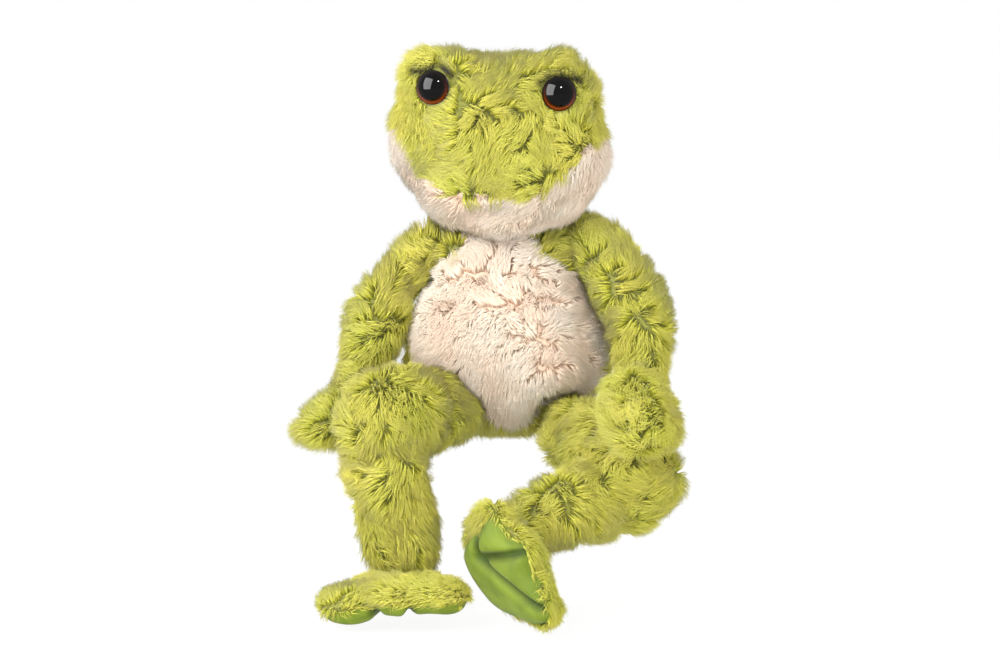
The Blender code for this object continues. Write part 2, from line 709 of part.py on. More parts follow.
CHEST_TOP = CHEST_RISE + CHEST_HEIGHT
NECK_SEAT = CHEST_TOP - NECK_SINK
NECK_BALL = Vector((0, CHEST_BACK, NECK_SEAT + NECK_BALL_RISE))

seat_root = joint("seat", Vector())
body = build_body(CHEST_TOP)
neck_piece = build_neck(NECK_BALL, NECK_SEAT)
head = build_head(NECK_BALL)
build_limbs(body, seat_root)
neck_turn = joint("neck_turn", NECK_BALL, seat_root)
head_nod = joint("head_nod", NECK_BALL, neck_turn)
hang((neck_piece,), neck_turn)
hang(head, head_nod)
hang(body, seat_root)
bpy.context.view_layer.update()
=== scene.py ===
"""The looks of the plush frog: sewn hides, tufted pile, padded soles and glossy eyes, in metres.

Each hide is the backing cloth of one stuffed form: the fused CAD solids, swollen as cloth under
pressure, lumped by the filling and drawn in by the depth of the pile. The pile grows from it in
tufts that lean together, and each piece of pile is one mesh of closed fibres.
"""

import json
import math

import bmesh
import bpy
import numpy as np
from mathutils import Matrix, Vector
from mathutils.bvhtree import BVHTree
from mathutils.kdtree import KDTree


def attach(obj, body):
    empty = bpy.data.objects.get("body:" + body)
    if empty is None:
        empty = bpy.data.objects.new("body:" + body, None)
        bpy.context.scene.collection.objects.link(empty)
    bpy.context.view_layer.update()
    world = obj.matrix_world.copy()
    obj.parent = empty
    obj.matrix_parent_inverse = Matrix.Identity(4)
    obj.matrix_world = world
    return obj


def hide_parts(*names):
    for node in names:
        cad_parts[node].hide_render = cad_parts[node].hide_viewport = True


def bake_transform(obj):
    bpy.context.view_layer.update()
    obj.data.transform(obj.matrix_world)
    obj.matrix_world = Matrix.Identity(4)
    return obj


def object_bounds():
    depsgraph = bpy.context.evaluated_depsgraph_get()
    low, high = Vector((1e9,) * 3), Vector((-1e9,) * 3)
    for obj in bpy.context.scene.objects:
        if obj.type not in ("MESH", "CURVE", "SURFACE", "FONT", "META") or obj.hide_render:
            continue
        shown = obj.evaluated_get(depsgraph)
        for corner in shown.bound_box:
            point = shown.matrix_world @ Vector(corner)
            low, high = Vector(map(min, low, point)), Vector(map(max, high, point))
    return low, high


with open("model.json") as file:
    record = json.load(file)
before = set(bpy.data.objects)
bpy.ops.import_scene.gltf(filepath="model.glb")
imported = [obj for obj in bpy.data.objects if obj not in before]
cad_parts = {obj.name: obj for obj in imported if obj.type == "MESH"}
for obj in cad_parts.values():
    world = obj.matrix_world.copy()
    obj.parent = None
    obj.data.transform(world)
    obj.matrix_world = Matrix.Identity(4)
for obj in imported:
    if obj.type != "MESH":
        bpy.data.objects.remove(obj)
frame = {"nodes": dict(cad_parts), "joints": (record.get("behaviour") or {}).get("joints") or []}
cad_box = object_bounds()
scene = bpy.context.scene

# Camera, at the photograph's viewing angle
CAMERA_AIM = Vector((-0.0037, 0.0, 0.0567))
CAMERA_FAR = 1.6
CAMERA_UP = math.radians(6)
VIEW_WIDTH = 0.53  # what the frame spans at the toy
SENSOR = 0.036

# Hides
VOXEL = 0.004
LIMB_VOXEL = 0.003
PRESSURE = 4.0  # of the filling
PUFF_FRAMES = 20
PUFF_CAP = 0.004  # how far a point may move while it is swollen
SINK = 0.0055  # backing cloth below the CAD skin, which has half the pile's depth
EYE_SINK = 0.0025  # the same around the eyes
EYE_REACH = 0.010  # how far around an eye the hide and its pile are drawn in
FOOT_SINK = 0.0035
LUMP_APART = 0.026  # lumps of the filling
LUMP_WIDE = 0.62  # how far a lump reaches, as a share of that
LUMP_SHARES = (0.5, 1.4)  # of the rise, from the lowest lump to the highest
LUMP_RISE = 0.0016
BODY_RISE = 0.0007  # the body is filled more evenly

# Floor and light
FLOOR_SIZE = 6.0
FLOOR_GAP = 0.003  # below the lowest solid
FLOOR_GLOW = 0.85  # what is left shows the shadow
FLOOR_WHITE = 1.06  # makes up for it where there is none
SKY = 0.80

# Pile
GREEN_LENGTH = 0.0110
CREAM_LENGTH = 0.0090
FOOT_LENGTH = 0.0068
LENGTHS = (0.82, 1.08)  # shares of the length, from the shortest fibre to the longest
FIBRE_WIDTH = 0.00060
WIDTHS = (0.75, 1.2)  # shares of the width
FIBRE_BEND = 0.85  # the width at the bend, as a share of that at the root
ROOT_DEPTH = 0.001  # roots below the face of the cloth
TUFT_APART = 0.0055
TOP_COAT = 90e4  # bent fibres on a square metre
UNDERCOAT = 200e4  # straight ones between them
LEAN = (38, 48, 20)  # degrees: the least, the most, and how much more off a lump
LEAN_STRAY = 0.08  # radians
TUFT_STRAY = 0.16  # how far the nap turns from one tuft to the next, and from fibre to fibre
FIBRE_STRAY = 0.12
GATHER = 0.22  # the most that a fibre is drawn to the tip of its tuft
TIP_STRAY = 0.0012
SWIRL_WIDE = 0.075  # over which the nap turns
SWIRL_FINE = 0.022
SWIRL_WAVES = 6
PARTING_APART = 0.012
PARTING_STEPS = 4  # points of each parting, and how far apart
PARTING_STEP = 0.0016
PARTING_WIDE = 0.0020
PARTING_HEIGHT = 0.45  # where it lies in the coat, as a share of the length
PARTING_TURN = 0.5  # how crooked it is
PARTING_GROUPS = 0.08  # over which groups of partings come and go
PARTING_RARE = -0.3  # the higher, the fewer
TIP_ASIDE = 1.2  # how far it moves the tips and middles of fibres, as shares of its width
MIDDLE_ASIDE = 0.65

# Soles
SOLE_VOXEL = 0.0018
SOLE_FLAT = 0.6  # a point belongs to the sole where its normal lies this near the sole's
SOLE_RIM = 0.0038  # how far the pad stays inside that
SOLE_ROUND = 0.008  # how far it takes to crown
SOLE_SWELL = 0.0018  # how far it crowns
SOLE_CREASE = 0.0048  # depth of the sewn creases between its toes
SOLE_CREASE_WIDE = 0.0026
TOES = {"right": Vector((-0.05, -1.0, -0.03)), "left": Vector((0.28, -0.77, 0.56))}
SOLE_FACES = {"right": Vector((0.08, -0.03, -1.0)), "left": Vector((-0.79, -0.52, -0.30))}
PAD_TURNS = {"right": 0.3, "left": 0.0}  # how far the pad wraps up towards the toes
# In shares of the foot's half width and half length: where the pad begins, how far back it
# reaches, and its creases
PAD_STARTS = {"right": (-1.0, -1.2), "left": (-0.64, -0.88)}
PAD_ENDS = {"right": 1.2, "left": 0.80}
CREASES = {
    "right": (((0.0, 0.35), (-0.34, -1.1)), ((0.0, 0.35), (0.34, -1.1))),
    "left": (((-0.95, -0.70), (-0.34, 0.0)), ((-0.34, 0.0), (0.85, -0.50)), ((-0.34, 0.0), (0.18, -1.1))),
}

# Where the photograph shows a little more or less filling: the form, the spot seen from the front
# (across, up), its move, and how far around it the move reaches
PULLS = (
    ("head", (0.027, 0.209), (0.0, 0.0034), 0.015),
    ("head", (0.043, 0.207), (-0.0018, -0.0024), 0.012),
    ("head", (0.002, 0.203), (0.0, 0.0026), 0.010),
    ("head", (-0.026, 0.208), (0.0, 0.0022), 0.010),
    ("head", (0.057, 0.155), (0.0015, 0.0), 0.014),
    ("head", (0.055, 0.174), (-0.0022, 0.0), 0.012),
    ("head", (0.047, 0.130), (0.0012, -0.0010), 0.012),
    ("head", (0.050, 0.190), (-0.0016, 0.0), 0.016),
    ("head", (-0.049, 0.129), (0.0024, 0.0012), 0.018),
    ("head", (-0.054, 0.190), (0.0005, 0.0), 0.016),
    ("body", (-0.004, 0.103), (0.0, 0.0040), 0.030),
    ("body", (-0.034, 0.103), (-0.0045, 0.0090), 0.013),
    ("body", (0.032, 0.104), (0.0035, 0.0090), 0.015),
    ("body", (0.053, 0.045), (0.0015, 0.0), 0.014),
    ("body", (0.006, 0.004), (0.0, 0.0025), 0.022),
    ("right_arm", (-0.095, 0.050), (0.0070, 0.0), 0.020),
    ("right_arm", (-0.100, 0.035), (0.0045, -0.0010), 0.016),
    ("right_arm", (-0.079, 0.087), (0.0036, -0.0032), 0.018),
    ("right_arm", (-0.089, 0.071), (0.0022, 0.0), 0.010),
    ("right_arm", (-0.051, 0.108), (0.0, 0.0045), 0.022),
    ("right_arm", (-0.041, 0.111), (0.0050, 0.0095), 0.013),
    ("right_arm", (-0.043, 0.085), (-0.0058, 0.0), 0.016),
    ("right_arm", (-0.052, 0.069), (0.0030, 0.0), 0.011),
    ("right_arm", (-0.062, 0.048), (0.0055, 0.0), 0.013),
    ("right_arm", (-0.102, 0.026), (0.0, -0.0015), 0.012),
    ("right_arm", (-0.100, -0.003), (0.0030, 0.0035), 0.014),
    ("left_arm", (0.094, 0.047), (-0.0068, 0.0), 0.015),
    ("left_arm", (0.087, 0.034), (-0.0020, 0.0), 0.008),
    ("left_arm", (0.089, 0.079), (-0.0016, 0.0), 0.014),
    ("left_arm", (0.071, 0.099), (-0.0012, -0.0010), 0.014),
    ("left_arm", (0.058, 0.110), (0.0005, 0.0050), 0.019),
    ("left_arm", (0.044, 0.113), (-0.0068, 0.0070), 0.015),
    ("left_arm", (0.042, 0.083), (-0.0006, 0.0), 0.016),
    ("left_arm", (0.053, 0.043), (-0.0060, 0.0), 0.015),
    ("left_arm", (0.094, 0.013), (0.0080, 0.0), 0.012),
    ("right_leg", (-0.038, 0.040), (0.0, 0.0020), 0.016),
    ("right_leg", (-0.022, 0.004), (0.0, 0.0020), 0.013),
    ("right_leg", (-0.036, -0.010), (-0.0046, 0.0), 0.016),
    ("right_leg", (-0.033, -0.042), (0.0042, 0.0), 0.014),
    ("right_leg", (-0.073, -0.044), (-0.0028, 0.0), 0.014),
    ("right_leg", (-0.081, -0.018), (-0.0006, 0.0), 0.010),
    ("right_leg", (-0.084, -0.004), (-0.0040, 0.0), 0.014),
    ("right_leg", (-0.017, 0.025), (-0.0015, -0.0010), 0.016),
    ("left_leg", (0.015, -0.002), (0.0025, 0.0010), 0.015),
    ("left_leg", (0.023, 0.021), (0.0020, -0.0062), 0.016),
    ("left_leg", (0.017, 0.012), (0.0035, -0.0010), 0.011),
    ("left_leg", (0.021, -0.005), (-0.0012, -0.0010), 0.010),
    ("left_leg", (0.040, -0.048), (0.0, 0.0045), 0.014),
    ("left_leg", (0.063, -0.041), (0.0, -0.0018), 0.010),
    ("left_leg", (0.080, -0.030), (-0.0010, 0.0022), 0.016),
    ("left_foot", (0.028, -0.056), (-0.0036, 0.0), 0.013),
    ("left_foot", (0.027, -0.073), (0.0012, -0.0010), 0.010),
    ("left_foot", (0.000, -0.066), (0.0010, 0.0010), 0.016),
    ("left_foot", (-0.020, -0.036), (-0.0036, 0.0), 0.012),
    ("left_foot", (-0.021, -0.051), (-0.0022, 0.0), 0.010),
    ("left_foot", (-0.012, -0.015), (0.0010, -0.0010), 0.012),
    ("right_foot", (-0.096, -0.068), (-0.0042, 0.0006), 0.012),
    ("right_foot", (-0.060, -0.079), (0.0, 0.0068), 0.012),
    ("right_foot", (-0.041, -0.079), (0.0, 0.0048), 0.011),
    ("right_foot", (-0.022, -0.066), (0.0030, 0.0), 0.012),
)
MOUTH_LOWER = (  # how far the photo's mouth lies below the CAD's, from side to side
    (-0.058, -0.047, -0.037, -0.026, -0.012, 0.002, 0.012, 0.024, 0.037, 0.046, 0.056),
    (0.0042, 0.0014, 0.0028, 0.0052, 0.0022, 0.0004, 0.0034, 0.0018, 0.0074, 0.0026, -0.0010))
BELLY_TOP = (  # the cream ends below this, from side to side
    (-0.038, -0.033, -0.028, -0.007, 0.010, 0.0135, 0.034, 0.046),
    (0.090, 0.097, 0.107, 0.108, 0.108, 0.098, 0.0895, 0.0775))
BELLY_NECK = ((-0.024, 0.015), 0.088)  # between these the cream reaches up to the top, above this
BELLY_DROP = ((0.030, 0.010), (0.0, 0.002))  # at which heights it hangs lower, and by how much
BELLY_SIDES = (-0.0465, 0.0470)
BELLY_FOOT = ((-0.021, -0.010, 0.001, 0.015, 0.021), (0.033, 0.019, 0.0135, 0.015, 0.018))

# Eyes
EYE_RADIUS = 0.009
EYE_DOME = 0.0052
EYE_RIM = 0.0007  # rounding of the dome's edge
LIDS = {  # the hollow under each lid, where shade is painted on the pile, across and up from the eye's middle
    "right": ((-0.0125, 0.0100), (-0.0064, 0.0094), (0.0, 0.0104), (0.0045, 0.0094), (0.0085, 0.0066)),
    "left": ((-0.0108, 0.0060), (-0.0064, 0.0082), (0.0014, 0.0108), (0.0069, 0.0086), (0.0116, 0.0056)),
}
LID_WIDE = 0.0023
LID_DEEP = 0.014  # from the eye's foot to the back of the pile that takes its painted shade
LID_CUT = 0.35  # how much shorter the pile is in the hollow
ABOVE_LENGTH = 0.75  # the pile's length at an eye's rim, above it and elsewhere, as a share
RIM_LENGTH = 0.45
RIM_GROWS = 0.55
ABOVE_EYES = 0.6  # where the lids begin, in radii above the eye's middle
EYE_CLEAR = 0.0002  # roots keep this far from an eye's rim
TIP_OVER = 0.0006  # tips and middles of fibres may hang over it by this
MIDDLE_OVER = 0.0003
EYE_ALONG = 0.02  # what lies further along an eye's axis doesn't count as close to it
FAR_AWAY = 0.05
CROWN_MIDDLE = -0.003  # where the crown's pile is split in two meshes
BODY_MIDDLE = 0.0


def colour(text):
    """An sRGB hex colour as the linear values that Blender's sockets take."""
    parts = [int(text[i:i + 2], 16) / 255 for i in (1, 3, 5)]
    return (*(c / 12.92 if c <= 0.04045 else ((c + 0.055) / 1.055) ** 2.4 for c in parts), 1.0)


def add(tree, kind, inputs=None, stops=(), **settings):
    """Adds a node with its settings, values, colour stops and links, given as (node, output)."""
    node = tree.nodes.new(kind)
    for name, value in settings.items():
        setattr(node, name, value)
    while stops and len(node.color_ramp.elements) < len(stops):
        node.color_ramp.elements.new(0.5)
    for number, (place, text) in enumerate(stops):
        node.color_ramp.elements[number].position = place
        node.color_ramp.elements[number].color = colour(text)
    for socket, value in (inputs or {}).items():
        if isinstance(value, tuple) and isinstance(value[0], bpy.types.Node):
            tree.links.new(value[0].outputs[value[1]], node.inputs[socket])
        else:
            node.inputs[socket].default_value = value
    return node


def noise(tree, place, size, detail=2.0, **more):
    """Noise of about this size in metres, on the object's own coordinates."""
    inputs = {"Vector": (place, "Object"), "Scale": 1 / size, "Detail": detail, **more}
    return add(tree, "ShaderNodeTexNoise", inputs)


def multiplied(tree, first, second):
    """Two colours multiplied, each given as (node, output); the result is output 2."""
    return add(tree, "ShaderNodeMix", {0: 1.0, 6: first, 7: second},
               data_type="RGBA", blend_type="MULTIPLY")


def relief(tree, shader, height, depth, strength):
    """Fine relief of this depth in metres, for grain too small to model."""
    inputs = {"Height": (height, "Fac"), "Distance": depth, "Strength": strength}
    bump = add(tree, "ShaderNodeBump", inputs)
    tree.links.new(bump.outputs["Normal"], shader.inputs["Normal"])


def new_material(name, **values):
    """A Principled material with these values on its own sockets, its tree and its shader."""
    made = bpy.data.materials.new(name)
    made.use_nodes = True
    shader = made.node_tree.nodes["Principled BSDF"]
    for socket, value in values.items():
        shader.inputs[socket.replace("_", " ")].default_value = value
    return made, made.node_tree, shader


def faux_fur(name, along, patches, spread):
    """Acrylic faux fur: dull fibres, darker towards the backing and paler at their sheared tips.

    along holds the colours from root to tip, patches the tints of 30 mm patches of dye, and
    spread how far the fibres differ in brightness. The fibre attribute gives how far along its
    fibre a point is, the fibre's own shade, and how much painted shade darkens it under a lid.
    """
    made, tree, shader = new_material(
        name, Roughness=0.7, Specular_IOR_Level=0.2, Sheen_Weight=0.10, Sheen_Roughness=0.45)
    fibre = add(tree, "ShaderNodeAttribute", attribute_name="fibre")
    parts = add(tree, "ShaderNodeSeparateColor", {"Color": (fibre, "Color")})
    shade = add(tree, "ShaderNodeValToRGB", {"Fac": (parts, "Red")}, along)
    place = add(tree, "ShaderNodeTexCoord")
    patch = noise(tree, place, 0.030)
    tint = add(tree, "ShaderNodeValToRGB", {"Fac": (patch, "Fac")}, patches)
    dyed = multiplied(tree, (shade, "Color"), (tint, "Color"))
    each = add(tree, "ShaderNodeMapRange",
               {"Value": (parts, "Green"), "To Min": 1 - spread, "To Max": 1 + spread})
    lit = add(tree, "ShaderNodeHueSaturation", {"Color": (dyed, 2), "Value": (each, "Result")})
    # Painted shade: the fibre attribute's third channel mixes fibres in the hollows under the lids
    # towards near black
    painted_shade = add(tree, "ShaderNodeMix", {0: (parts, "Blue"), 6: (lit, "Color"), 7: colour("#14100a")},
                  data_type="RGBA")
    tree.links.new(painted_shade.outputs[2], shader.inputs["Base Color"])
    return made


def backing_cloth(name, dark, light):
    """Knitted backing cloth, seen only between the fibres."""
    made, tree, shader = new_material(name, Roughness=0.95)
    place = add(tree, "ShaderNodeTexCoord")
    knit = noise(tree, place, 0.0015, 3.0)
    look = add(tree, "ShaderNodeValToRGB", {"Fac": (knit, "Fac")}, ((0.3, dark), (0.7, light)))
    tree.links.new(look.outputs["Color"], shader.inputs["Base Color"])
    relief(tree, shader, knit, 0.0004, 0.6)
    return made


def short_plush(name, dark, light):
    """Short velvet nap on the soles: it shows where it was stroked, and has painted shade in the folds.
    """
    made, tree, shader = new_material(name, Roughness=0.75, Specular_IOR_Level=0.15,
                                      Sheen_Weight=0.10, Sheen_Roughness=0.35)
    place = add(tree, "ShaderNodeTexCoord")
    stroked = noise(tree, place, 0.012, 3.0, Distortion=0.6)
    look = add(tree, "ShaderNodeValToRGB", {"Fac": (stroked, "Fac")}, ((0.35, dark), (0.62, light)))
    # Painted shade in the sewn creases: the fold depth darkens the nap towards grey green
    fold = add(tree, "ShaderNodeAttribute", attribute_name="fold")
    painted_shade = add(tree, "ShaderNodeValToRGB", {"Fac": (fold, "Fac")},
                  ((0.15, "#ffffff"), (0.85, "#8d9a86")))
    dyed = multiplied(tree, (look, "Color"), (painted_shade, "Color"))
    tree.links.new(dyed.outputs[2], shader.inputs["Base Color"])
    nap = noise(tree, place, 0.0007)
    relief(tree, shader, nap, 0.0003, 0.5)
    return made


def only(obj):
    """Makes obj the only selected and active object."""
    bpy.ops.object.select_all(action="DESELECT")
    obj.select_set(True)
    bpy.context.view_layer.objects.active = obj


def apply(obj, kind, **settings):
    """Adds a modifier with its settings and applies it."""
    only(obj)
    change = obj.modifiers.new(kind.title(), kind)
    for name, value in settings.items():
        setattr(change, name, value)
    bpy.ops.object.modifier_apply(modifier=change.name)


def joined_copy(name, nodes):
    """The CAD nodes' shapes as one new object."""
    copies = []
    for node in nodes:
        copy = bpy.data.objects.new(name, frame["nodes"][node].data.copy())
        scene.collection.objects.link(copy)
        copy.data.materials.clear()
        copies.append(copy)
    only(copies[0])
    for copy in copies:
        copy.select_set(True)
    bpy.ops.object.join()
    whole = bpy.context.view_layer.objects.active
    whole.name = name
    return whole


def keep_outside(obj):
    """Removes what a remesh left inside the largest shell."""
    bm = bmesh.new()
    bm.from_mesh(obj.data)
    left, shells = set(bm.verts), []
    while left:
        shell, edge = set(), [next(iter(left))]
        while edge:
            vertex = edge.pop()
            if vertex in shell:
                continue
            shell.add(vertex)
            edge += [e.other_vert(vertex) for e in vertex.link_edges]
        shells.append(shell)
        left -= shell
    largest = max(shells, key=len)
    bmesh.ops.delete(bm, geom=[v for v in bm.verts if v not in largest], context="VERTS")
    bm.to_mesh(obj.data)
    bm.free()


def points(obj):
    co = np.zeros(len(obj.data.vertices) * 3)
    obj.data.vertices.foreach_get("co", co)
    return co.reshape(-1, 3)


def normals(obj):
    found = np.zeros(len(obj.data.vertices) * 3)
    obj.data.vertices.foreach_get("normal", found)
    return found.reshape(-1, 3)


def put_points(obj, co):
    obj.data.vertices.foreach_set("co", co.ravel())
    obj.data.update()


def unit(vectors):
    return vectors / np.maximum(np.linalg.norm(vectors, axis=-1, keepdims=True), 1e-9)


def tangent(vectors, out):
    """The part of each vector that lies along the surface."""
    return vectors - out * (vectors * out).sum(axis=-1, keepdims=True)


def tree_of(places):
    tree = KDTree(len(places))
    for i, place in enumerate(places):
        tree.insert(place, i)
    tree.balance()
    return tree


def nearest(tree, places):
    """For each place, the number of the nearest point in a tree and how far it is."""
    found = [tree.find(place) for place in places]
    return np.array([i for _, i, _ in found], int), np.array([far for _, _, far in found])


def puff(obj, cap=PUFF_CAP):
    """Swells a closed form as cloth under pressure, and keeps each point within the cap."""
    before = points(obj)
    cloth = obj.modifiers.new("Puff", "CLOTH")
    cloth.settings.use_pressure = True
    cloth.settings.uniform_pressure_force = PRESSURE
    cloth.settings.effector_weights.gravity = 0
    for step in range(1, PUFF_FRAMES + 1):
        scene.frame_set(step)
    seen = obj.evaluated_get(bpy.context.evaluated_depsgraph_get())
    after = points(seen)
    obj.modifiers.remove(cloth)
    scene.frame_set(1)
    move = after - before
    far = np.linalg.norm(move, axis=1, keepdims=True)
    put_points(obj, before + move * np.minimum(1, cap / np.maximum(far, 1e-9)))


def pull(hide, form):
    """Moves the outline of a form to the photograph's."""
    for own, spot, move, reach in PULLS:
        if own == form:
            co = points(hide)
            far = np.linalg.norm(co[:, (0, 2)] - spot, axis=1)
            co[:, (0, 2)] += np.outer(np.exp(-(far / reach) ** 2), move)
            put_points(hide, co)


def make_hide(name, nodes, cloth, voxel=VOXEL, stands_for=None):
    """The closed outer form of some CAD solids, fused, swollen and smoothed, which replaces them."""
    hide = joined_copy(name, nodes)
    apply(hide, "REMESH", mode="VOXEL", voxel_size=voxel)
    keep_outside(hide)
    puff(hide)
    apply(hide, "SMOOTH", factor=0.5, iterations=4)
    pull(hide, name.rsplit("_", 1)[0].replace("_sole", "_foot"))
    hide.data.shade_smooth()
    hide.data.materials.append(cloth)
    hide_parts(*(stands_for or nodes))
    return hide


def draw_in(hide, depth):
    """Moves the surface inwards by depth, which is a number or one for each point."""
    put_points(hide, points(hide) - normals(hide) * np.reshape(depth, (-1, 1)))
    apply(hide, "SMOOTH", factor=0.5, iterations=3)


def scatter(hide, count, rng):
    """Random places on a mesh, spread by area, with smooth normals."""
    hide.data.calc_loop_triangles()
    corners = np.zeros(len(hide.data.loop_triangles) * 3, int)
    hide.data.loop_triangles.foreach_get("vertices", corners)
    corners = corners.reshape(-1, 3)
    co, no = points(hide), normals(hide)
    a, b, c = (co[corners[:, i]] for i in range(3))
    area = np.linalg.norm(np.cross(b - a, c - a), axis=1)
    picked = rng.choice(len(corners), size=max(1, int(count)), p=area / area.sum())
    u, v = rng.random(len(picked)), rng.random(len(picked))
    flip = u + v > 1
    u[flip], v[flip] = 1 - u[flip], 1 - v[flip]
    w = np.stack((1 - u - v, u, v), axis=1)[:, :, None]
    return (co[corners[picked]] * w).sum(axis=1), unit((no[corners[picked]] * w).sum(axis=1))


def spaced(hide, apart, rng):
    """Places on a mesh that keep about this far apart, with normals."""
    area = sum(face.area for face in hide.data.polygons)
    places, out = scatter(hide, 8 * area / apart ** 2, rng)
    tree = tree_of(places)
    free = np.ones(len(places), bool)
    chosen = []
    for i, place in enumerate(places):
        if free[i]:
            chosen.append(i)
            free[[j for _, j, _ in tree.find_range(place, apart * 0.85)]] = False
    return places[chosen], out[chosen]


def lump(hide, seed, most):
    """Raises the soft lumps that the filling makes under the cloth."""
    rng = np.random.default_rng(seed)
    middles, _ = spaced(hide, LUMP_APART, rng)
    rise = rng.uniform(*LUMP_SHARES, len(middles))
    own, far = nearest(tree_of(middles), points(hide))
    dome = np.clip(1 - (far / (LUMP_WIDE * LUMP_APART)) ** 2, -1, 1)
    put_points(hide, points(hide) + normals(hide) * (most * rise[own] * dome)[:, None])
    apply(hide, "SMOOTH", factor=0.5, iterations=1)


def swirl(places, seed, size):
    """A smooth field of directions that turns over about this size."""
    rng = np.random.default_rng(seed)
    field = np.zeros_like(places)
    for _ in range(SWIRL_WAVES):
        wave = unit(rng.normal(size=3)) * 2 * math.pi / size * rng.uniform(0.6, 1.3)
        field += np.sin(places @ wave + rng.uniform(0, 2 * math.pi))[:, None] * rng.normal(size=3)
    return field


def partings(hide, length, seed, rng):
    """Points of short crooked lines in the coat, in groups, where it opens down to the roots."""
    starts, out = spaced(hide, PARTING_APART, rng)
    held = swirl(starts, seed + 3, PARTING_GROUPS)[:, 0] > PARTING_RARE
    place, out = starts[held] + out[held] * length * PARTING_HEIGHT, out[held]
    heading = unit(tangent(rng.normal(size=place.shape), out))
    chain = []
    for _ in range(PARTING_STEPS):
        chain.append(place)
        heading = unit(heading + PARTING_TURN * tangent(rng.normal(size=place.shape), out))
        place = place + heading * PARTING_STEP
    return np.concatenate(chain)


def aside(places, gaps, push):
    """Pushes places away that lie close to a parting, by up to this share of its width."""
    own, far = nearest(tree_of(gaps), places)
    push = push * PARTING_WIDE * np.exp(-(far / PARTING_WIDE) ** 2)
    return places + unit(places - gaps[own]) * push[:, None]


def grow_pile(name, hide, look, length, seed, keep, shorter=None, shaded=None, bias=(0, 0, -0.4),
              thick=1.0, fan=1.1, curl=0.5, parted=1.0, lean=LEAN):
    """Grows pile on a hide, where keep allows it.

    shorter gives each root's share of the length, shaded how much painted shade darkens it there,
    fan is how much it spreads from each lump, curl how much it is crushed, parted how far its small
    partings open, and lean its least and most lean and how much more it leans off a lump.
    """
    rng = np.random.default_rng(seed)
    area = sum(face.area for face in hide.data.polygons)
    top = int(area * TOP_COAT * thick)
    roots, out = scatter(hide, area * (TOP_COAT + UNDERCOAT) * thick, rng)
    bent = np.arange(len(roots)) < top
    held = keep(roots)
    roots, out, bent = roots[held], out[held], bent[held]

    # The nap turns slowly, fans out from the middle of each lump, and leans in tufts
    lumps, _ = spaced(hide, LUMP_APART, rng)
    tufts, tuft_out = spaced(hide, TUFT_APART, rng)
    lump_of, from_lump = nearest(tree_of(lumps), tufts)
    away = (tufts - lumps[lump_of]) / LUMP_APART
    flow = unit(swirl(tufts, seed + 1, SWIRL_WIDE)) + curl * unit(swirl(tufts, seed + 2, SWIRL_FINE))
    flow = flow + np.array(bias) + fan * away + TUFT_STRAY * rng.normal(size=tufts.shape)
    flow = unit(tangent(flow, tuft_out))
    least, most, more = lean
    off = np.clip(2 * from_lump / LUMP_APART, 0, 1)
    bowed = np.radians(rng.uniform(least, most, len(tufts)) + more * off)[:, None]
    tuft_tip = tufts + length * (tuft_out * np.cos(bowed) + flow * np.sin(bowed))
    tuft_shade = rng.random(len(tufts))
    own, _ = nearest(tree_of(tufts), roots)

    # Each fibre bends over at its middle, follows its tuft, and is moved off the partings
    size = length * rng.uniform(*LENGTHS, (len(roots), 1))
    if shorter is not None:
        size *= shorter(roots)[:, None]
    comb = unit(tangent(flow[own], out) + FIBRE_STRAY * rng.normal(size=out.shape))
    lay = bowed[own] + rng.normal(0, LEAN_STRAY, size.shape)
    tip = roots + size * (out * np.cos(lay) + comb * np.sin(lay))
    gather = rng.uniform(0.0, GATHER, size.shape)
    target = tuft_tip[own] + rng.normal(0, TIP_STRAY, tip.shape)
    tip = roots + unit(tip + (target - tip) * gather - roots) * size
    rise = out * (0.35 + np.cos(lay)) * 0.75 + comb * np.sin(lay) * 0.55
    middle = roots + 0.5 * size * rise
    gaps = partings(hide, length, seed, rng)
    tip = aside(tip, gaps, TIP_ASIDE * parted)
    middle = aside(middle, gaps, MIDDLE_ASIDE * parted)
    shade = 0.4 * tuft_shade[own] + 0.6 * rng.random(len(roots))
    # How much painted shade each fibre takes, from 0 to 1
    dark = np.zeros(len(roots)) if shaded is None else shaded(middle)
    free = (from_eyes(tip) > -TIP_OVER) & (from_eyes(middle) > -MIDDLE_OVER)
    roots, middle, tip, bent, shade, dark = (
        each[free] for each in (roots - out * ROOT_DEPTH, middle, tip, bent, shade, dark))
    return fibres(name, roots, middle, tip, bent, shade, dark, look, rng)


